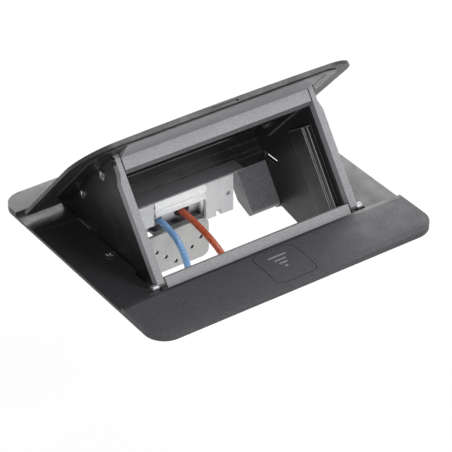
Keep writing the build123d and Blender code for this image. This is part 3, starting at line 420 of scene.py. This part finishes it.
# The springs: drawn steel wire, coiled. Two turn the tray open round the hinge pins, one lifts
# the button and one pushes the latch home.
spring_wire = skin("drawn spring wire", (0.30, 0.30, 0.31), (0.52, 0.52, 0.54), 0.22, 0.4,
                   grains=4000, depth=0.000008, metal=1)


def worked_spring(name, node, side=0):
    # a spring copied from its piece, where a side, if given, says which of a pair of springs it is,
    # and only the half of the coil on that side is kept
    coil = merged_copy(node)
    bmesh.ops.delete(coil, geom=[v for v in coil.verts if v.co.x * side < 0], context="VERTS")
    spring = built(name, coil, spring_wire)
    spring.data.shade_smooth()
    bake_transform(spring)
    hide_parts(node)


worked_spring("button_coil", "button_spring")
worked_spring("latch_coil", "latch_spring")
for name, side in (("left_lifting_coil", -1), ("right_lifting_coil", 1)):
    worked_spring(name, "torsion_springs",
                  side)

# The fixings: bright zinc plated steel. Cast claws swing out under the desk on long screws, nuts
# keep them on, and turned pins carry the tray. The screws have tapered cross recesses.
arm_share = 0.58
half_slot_share = 0.13
depth_share = 0.22
taper_share = 0.3
facing = 0.99
least_head = 2.6
hair = 0.0000001
outwards = (Vector((-1, 0, 0)), Vector((1, 0, 0)))
upwards = (Vector((0, 0, 1)),)
downwards = (Vector((0, 0, -1)),)
forwards = (Vector((0, -1, 0)),)
zinc_plate = skin("bright zinc plate", (0.34, 0.34, 0.35), (0.56, 0.56, 0.58), 0.26, 0.42,
                  grains=2200, depth=0.00001, metal=1)
cast_zinc = skin("cast zinc", (0.34, 0.34, 0.35), (0.50, 0.50, 0.52), 0.35, 0.55,
                 grains=1500, metal=1)
for node in ("clamp_nuts", "hinge_pins"):
    finish_node(node, zinc_plate)
softened("left_claw", "left_clamp", cast_zinc, rounding=0.0004)
softened("right_claw", "right_clamp", cast_zinc, rounding=0.0004)


def head_top(shell, way, middle, radius):
    # the faces on the end of the head that faces this way
    return [f for f in shell.faces if f.normal.dot(way) > facing
            and (f.calc_center_median() - middle).length < radius]


def cut_cross(shell, way, middle, radius):
    # the four edges of each slot are scored across the head, and what lies between them sinks
    arm, half_slot = radius * arm_share, radius * half_slot_share
    side = way.orthogonal().normalized()
    up = way.cross(side)
    for across, reach in ((side, half_slot), (side, arm), (up, half_slot), (up, arm)):
        for sign in (-1, 1):
            tops = head_top(shell, way, middle, radius)
            edges = list(dict.fromkeys(e for f in tops for e in f.edges))
            corners = list(dict.fromkeys(v for f in tops for v in f.verts))
            bmesh.ops.bisect_plane(shell, geom=tops + edges + corners, dist=hair,
                                   plane_co=middle + across * reach * sign, plane_no=across)
    cross = []
    for face in head_top(shell, way, middle, radius):
        off = face.calc_center_median() - middle
        u, v = abs(off.dot(side)), abs(off.dot(up))
        if min(u, v) < half_slot and max(u, v) < arm:
            cross.append(face)
    bmesh.ops.inset_region(shell, faces=cross, thickness=half_slot * taper_share,
                           depth=-radius * depth_share)


def cross_driven(node, body, material, ways, radius, rounding):
    # a screw with a cross recess in each round end that faces one of the ways
    shell = merged_copy(node)
    for way in ways:
        heads = [f.calc_center_median() for f in shell.faces
                 if f.normal.dot(way) > facing and f.calc_area() > least_head * radius ** 2]
        for middle in heads:
            cut_cross(shell, way, middle, radius)
    softened(node, body, material, rounding, shell=shell)


for node, body, ways, head_radius, rounding in (
        ("cheek_screws", "tray", outwards, 0.0024, 0.0002),
        ("clamp_screws", "frame", upwards, 0.0029, 0.0006),
        ("housing_screws", "frame", downwards, 0.002, 0.0003),
        ("end_box_screw", "tray", forwards, 0.0012, 0.00008)):
    cross_driven(node, body, zinc_plate, ways, head_radius, rounding)

# The stop pins and the bar's end plugs: zinc plated and bright where they stand out of the cheeks,
# and painted near black along the part that runs inwards through the side bars, a painted shade.
unshaded_from = 0.0533
scuffs_per_metre = 2200
pin_zinc_painted_shade, part_tree, part_surface = new_material("zinc with painted shade inside")
part_side = part_tree.nodes.new("ShaderNodeMath")
part_side.operation = "ABSOLUTE"
part_tree.links.new(place_along(part_tree, "X"), part_side.inputs[0])
part_unshaded = worked_out(part_tree, "GREATER_THAN", part_side.outputs[0], unshaded_from)
part_place = add_node(part_tree, "ShaderNodeTexCoord")
part_scuffs = add_node(part_tree, "ShaderNodeTexNoise", Scale=scuffs_per_metre)
part_rough = add_node(part_tree, "ShaderNodeMapRange", To_Min=0.38, To_Max=0.6)
part_shade = part_tree.nodes.new("ShaderNodeMix")
part_shade.data_type = "RGBA"
# the inner part is painted near black and not metallic: painted shade
set_values(part_shade, A=(0.012, 0.012, 0.013, 1), B=(0.32, 0.32, 0.34, 1))
join_sockets(part_tree,
             (part_unshaded, part_shade.inputs["Factor"]),
             (part_unshaded, part_surface.inputs["Metallic"]),
             (part_place.outputs["Object"], part_scuffs.inputs["Vector"]),
             (part_scuffs.outputs["Fac"], part_rough.inputs["Value"]),
             (part_rough.outputs["Result"], part_surface.inputs["Roughness"]),
             (part_shade.outputs["Result"], part_surface.inputs["Base Color"]))
softened("stop_pins", "tray", pin_zinc_painted_shade, rounding=0.0007, steps=4)
cross_driven("bar_end_plugs", "tray", pin_zinc_painted_shade, outwards, radius=0.0019, rounding=0.0005)

# The lid: a full width moulding in the same anthracite as the frame, crowned across its width,
# with a thin raised liner under it that drops between the bands when the unit is shut.
anthracite = skin("satin anthracite", (0.016, 0.016, 0.018), (0.031, 0.031, 0.034), 0.40, 0.50)
# light grey for the rounded edges of the lid, cheeks, rails and ears: a painted highlight for the
# light they catch
edge_highlight_paint = skin("painted edge highlight", (0.26, 0.26, 0.27), (0.42, 0.42, 0.43), 0.3, 0.4)
liner_skin = skin("dark liner", (0.010, 0.010, 0.012), (0.020, 0.020, 0.023), 0.26, 0.38)
crown_bend = 0.01
softened("lid_cover", "tray", anthracite, rounding=0.0005, steps=3, painted_light=edge_highlight_paint,
         shell=merged_copy("lid_cover", crown_bend))
softened("lid_liner", "tray", liner_skin, rounding=0.00025)

# The cheeks, rear wall and rails: the tray's walls, moulded in near black with a little more gloss
# than the frame, so that their broad faces mirror the light. The ears are grained and painted
# paler, a painted reflection of the light on their front faces.
gloss_black = skin("half gloss black", (0.007, 0.007, 0.009), (0.015, 0.015, 0.018), 0.36, 0.46,
                   grains=1700, depth=0.00003)
# near white for the rear wall's rounded ridge edges: a painted highlight along the ridges
ridge_highlight_paint = skin("painted ridge highlight", (0.66, 0.66, 0.67), (0.74, 0.74, 0.75), 0.4, 0.5,
                  depth=0.000005)
grained_black_painted_lit = skin("grained black, painted lit", (0.13, 0.13, 0.14), (0.27, 0.27, 0.285), 0.4, 0.55,
                     depth=0.0001)
for node in ("left_cheek", "right_cheek"):
    softened(node, "tray", gloss_black, rounding=0.0003, painted_light=edge_highlight_paint)
softened("rear_wall", "tray", gloss_black, rounding=0.00045, steps=1, painted_light=ridge_highlight_paint)
for node in ("left_rail", "right_rail"):
    softened(node, "tray", gloss_black, rounding=0.0003, painted_light=edge_highlight_paint)
for node in ("left_ear", "right_ear"):
    softened(node, "tray", grained_black_painted_lit, rounding=0.0004, painted_light=edge_highlight_paint,
             shell=merged_copy(node, 0))

# The rear wall's foot lip: a thin moulded flange that runs forward from the wall over the top of
# the connection block, from the left cheek to the right ear.
lip_size = (0.0828, 0.0086, 0.0007)
lip_middle = (-0.0083, 0.0301, 0.0001)
lip = bmesh.new()
bmesh.ops.create_cube(lip, size=1)
bmesh.ops.scale(lip, vec=lip_size, verts=lip.verts)
bmesh.ops.translate(lip, vec=lip_middle, verts=lip.verts)
# the lip is in the paler grained grey, painted light where the wall's foot catches the light
rear_wall_lip = built("rear_wall_lip", lip, grained_black_painted_lit)
round_edges(rear_wall_lip, rounding=0.0002)
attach(rear_wall_lip, "tray")

# The window's four bars, in grained grey paint: a section folded along the top of the window up to
# the lid, an angle along its foot, and a bar down the front edge of each cheek.
long_edge = 0.09
foot_lean = 0.3
foot_chamfer = 0.0018
bar_paint = skin("grained grey paint", (0.20, 0.20, 0.21), (0.31, 0.31, 0.325), 0.42, 0.55,
                 depth=0.00009)
# a darker grey on the chamfered return along the upper bar's foot: painted shade, as the face turns
# down away from the light
bar_return_painted_shade = skin("painted shade on the bar's return", (0.05, 0.05, 0.054), (0.13, 0.13, 0.138), 0.45, 0.6,
                  grains=1700, depth=0.00012)
top_bar = merged_copy("upper_bar")
foot_edge = min((e for e in top_bar.edges if e.calc_length() > long_edge),
                key=lambda e: e.verts[0].co.y + e.verts[0].co.z * foot_lean)
bmesh.ops.bevel(top_bar, geom=[foot_edge], offset=foot_chamfer, segments=1, profile=0.5,
                affect="EDGES", material=1)
folded_bar = softened("upper_bar", "tray", bar_paint, rounding=0.0003, shell=top_bar,
                      painted_light=bar_return_painted_shade)
# only the narrow return along the foot gets the painted shade, the rounded edges keep the paint
# of their faces
folded_bar.modifiers["rounded edges"].material = -1
for node in ("lower_bar", "left_bar", "right_bar"):
    softened(node, "tray", bar_paint, rounding=0.0003)

# The connection block's end boxes: two white half gloss mouldings that close the ends of the
# housing. A small screw holds one of them.
box_white = skin("end box white", (0.50, 0.505, 0.515), (0.64, 0.645, 0.66), 0.22, 0.38,
                 grains=1400, depth=0.00003)
for node in ("left_end_box", "right_end_box"):
    softened(node, "tray", box_white, rounding=0.0006, steps=3)

# The cord plate: punched from sheet and painted white, for tying the cords to. Its holes are
# painted near black, a painted shade for the hollows the light does not reach.
hole_spots = ((-15.32, -29.02), (-10.32, -33.36), (-4.81, -37.86), (4.08, -33.36), (9.17, -29.73))
hole_radius = 0.00106
plate_white = skin("plate white", (0.36, 0.36, 0.355), (0.52, 0.52, 0.51), 0.35, 0.5,
                   grains=1800, depth=0.00003)
plate_tree = plate_white.node_tree
plate_place = plate_tree.nodes.new("ShaderNodeTexCoord")
plate_flat = plate_tree.nodes.new("ShaderNodeVectorMath")
plate_flat.operation = "MULTIPLY"
plate_flat.inputs[1].default_value = (1, 0, 1)
plate_tree.links.new(plate_place.outputs["Object"], plate_flat.inputs[0])
hole_shade = None
for spot_x, spot_z in hole_spots:
    away = plate_tree.nodes.new("ShaderNodeVectorMath")
    away.operation = "DISTANCE"
    away.inputs[1].default_value = (spot_x * mm, 0, spot_z * mm)
    plate_tree.links.new(plate_flat.outputs["Vector"], away.inputs[0])
    near = worked_out(plate_tree, "LESS_THAN", away.outputs["Value"], hole_radius)
    hole_shade = worked_out(plate_tree, "MAXIMUM", hole_shade, near) if hole_shade else near
# painted shade inside the holes
refinished(plate_tree, "Base Color", hole_shade, (0.02, 0.02, 0.022))
softened("cord_plate", "tray", plate_white, rounding=0.0002)

# The connection block's housing: a white half gloss moulding between the end boxes. Inside, its
# pocket is painted grey, darker towards its sill, a painted shade in the recess under the cover.
pocket_top = -0.0098
pocket_foot = -0.0165
pocket_front = 0.0269
block_white = skin("block white", (0.82, 0.83, 0.84), (0.93, 0.94, 0.95), 0.18, 0.34,
                   grains=1400, depth=0.00002)
white_tree = block_white.node_tree
pocket_shade_fall = add_node(white_tree, "ShaderNodeMapRange", From_Min=pocket_top,
                       From_Max=pocket_foot)
white_tree.links.new(place_along(white_tree, "Z"), pocket_shade_fall.inputs["Value"])
pocket_in = worked_out(white_tree, "GREATER_THAN", place_along(white_tree, "Y"), pocket_front)
pocket_shade = worked_out(white_tree, "MULTIPLY", pocket_shade_fall.outputs["Result"], pocket_in)
# the painted shade of the pocket, darkest at its sill
refinished(white_tree, "Base Color", pocket_shade, (0.05, 0.05, 0.055))
softened("block_housing", "tray", block_white, rounding=0.0005, steps=3)

# The terminal mouths: two flat black discs in the gasket's rubber, set in the block round the wires
# where they enter it, a painted shade for the dark holes there. The one for the brown wire is oval.
entry_shade_depth = 0.0004
entry_shade_sides = 40
for name, spot, half_wide, half_high in (("brown_mouth", (0.4, 29.9, -12.9), 0.0041, 0.0026),
                                         ("blue_mouth", (-13.0, 29.9, -12.2), 0.0022, 0.0021)):
    entry_shade_disc = bmesh.new()
    bmesh.ops.create_cone(entry_shade_disc, cap_ends=True, segments=entry_shade_sides, radius1=1, radius2=1,
                          depth=1, matrix=Matrix.Rotation(math.radians(90), 4, "X"))
    bmesh.ops.scale(entry_shade_disc, vec=(half_wide, entry_shade_depth, half_high), verts=entry_shade_disc.verts)
    bmesh.ops.translate(entry_shade_disc, vec=Vector(spot) * mm, verts=entry_shade_disc.verts)
    entry_shade_piece = built(name, entry_shade_disc, rubber_and_entry_shade)
    round_edges(entry_shade_piece, rounding=0.0001)
    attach(entry_shade_piece, "tray")

# The terminals: turned brass barrels held inside the block, behind the mouths, where they clamp the
# bared wires.
brass = skin("turned brass", (0.60, 0.40, 0.14), (0.82, 0.60, 0.28), 0.2, 0.35,
             grains=2600, depth=0.00001, metal=1)
finish_node("terminal_barrels", brass)

# The cover: a half clear moulding that bows forward over the terminals and is clipped in between
# the two end boxes.
cover_round = 0.0019
cover_wall = 0.0006
cover_steps = 20
cover_slant = Vector((1, 3.7, 9.1))
cover_low, cover_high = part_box("clear_cover")
cover_middle = Vector((0, cover_high[1], cover_high[2] - cover_round))
clear, clear_tree, clear_surface = new_material("clear cover")
set_values(clear_surface, Base_Color=(0.97, 0.975, 0.98, 1), Transmission_Weight=0.3, IOR=1.49)
clear_grain = grain_node(clear_tree, Smooth=0.03, Dull=0.10, Depth=0.000004)
join_sockets(clear_tree,
             (clear_grain.outputs["Roughness"], clear_surface.inputs["Roughness"]),
             (clear_grain.outputs["Normal"], clear_surface.inputs["Normal"]))
cover = bmesh.new()
rim = [cover.verts.new((x, cover_middle.y, cover_middle.z + cover_round))
       for x in (cover_low[0], cover_high[0])]
bmesh.ops.spin(cover, geom=rim + [cover.edges.new(rim)], cent=cover_middle, axis=(1, 0, 0),
               angle=math.radians(180), steps=cover_steps)
bmesh.ops.recalc_face_normals(cover, faces=cover.faces)
bmesh.ops.solidify(cover, geom=cover.faces, thickness=cover_wall)
bmesh.ops.recalc_face_normals(cover, faces=cover.faces)
# solidify leaves its new faces in another order each run, so they are put in line
for parts in (cover.edges, cover.faces):
    parts.sort(key=lambda part: sum((v.co for v in part.verts), Vector()).dot(cover_slant))
bowed_cover = built("bowed_cover", cover, clear)
bowed_cover.data.shade_smooth()
round_edges(bowed_cover, rounding=0.00015)
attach(bowed_cover, "tray")
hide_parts("clear_cover")

# The set: a pale floor well below the hanging parts, a pale surround, and soft lamps on the right,
# at the rear, in front and on the left, as in a plain product photograph.
floor_drop = 0.13
floor_half = 1.6
floor_white = 0.93
pale, pale_tree, pale_surface = new_material("pale floor")
set_values(pale_surface, Base_Color=(0.9, 0.9, 0.9, 1), Roughness=0.9)
pale_light = add_node(pale_tree, "ShaderNodeEmission", Color=(1, 1, 1, 1))
pale_mix = pale_tree.nodes.new("ShaderNodeMixShader")
pale_path = pale_tree.nodes.new("ShaderNodeLightPath").outputs
seen = worked_out(pale_tree, "MAXIMUM", pale_path["Is Camera Ray"], pale_path["Is Glossy Ray"])
seen = worked_out(pale_tree, "MAXIMUM", seen, pale_path["Is Transmission Ray"])
seen = worked_out(pale_tree, "MULTIPLY", seen, floor_white)
join_sockets(pale_tree,
             (seen, pale_mix.inputs["Fac"]),
             (pale_surface.outputs["BSDF"], pale_mix.inputs[1]),
             (pale_light.outputs["Emission"], pale_mix.inputs[2]),
             (pale_mix.outputs["Shader"], pale_tree.nodes["Material Output"].inputs["Surface"]))
floor_build = bmesh.new()
bmesh.ops.create_grid(floor_build, x_segments=1, y_segments=1, size=floor_half)
bmesh.ops.translate(floor_build, vec=(0, 0, -floor_drop), verts=floor_build.verts)
built("floor", floor_build, pale)

surround_light = 0.5
world = bpy.data.worlds.new("studio")
world.use_nodes = True
bpy.context.scene.world = world
sky_tree = world.node_tree
sky = sky_tree.nodes["Background"]
set_values(sky, Color=(1, 1, 1, 1), Strength=surround_light)
sky_seen = add_node(sky_tree, "ShaderNodeBackground", Color=(1, 1, 1, 1), Strength=1)
sky_mix = sky_tree.nodes.new("ShaderNodeMixShader")
sky_path = sky_tree.nodes.new("ShaderNodeLightPath")
join_sockets(sky_tree,
             (sky_path.outputs["Is Camera Ray"], sky_mix.inputs["Fac"]),
             (sky.outputs["Background"], sky_mix.inputs[1]),
             (sky_seen.outputs["Background"], sky_mix.inputs[2]),
             (sky_mix.outputs["Shader"], sky_tree.nodes["World Output"].inputs["Surface"]))

for name, spot, size, power in (("right lamp", (1.05, 0.40, 0.70), 0.9, 3),
                                ("rear lamp", (0.62, 0.90, 0.46), 0.5, 7.8),
                                ("front lamp", (0.54, -0.57, 0.86), 0.5, 8.5),
                                ("left lamp", (-0.6, -0.9, 0.5), 0.6, 3)):
    lamp_data = bpy.data.lights.new(name, "AREA")
    lamp_data.size = size
    lamp_data.energy = power
    lamp = placed(name, lamp_data)
    lamp.location = spot
    lamp.rotation_euler = Vector(spot).to_track_quat("Z", "Y").to_euler()
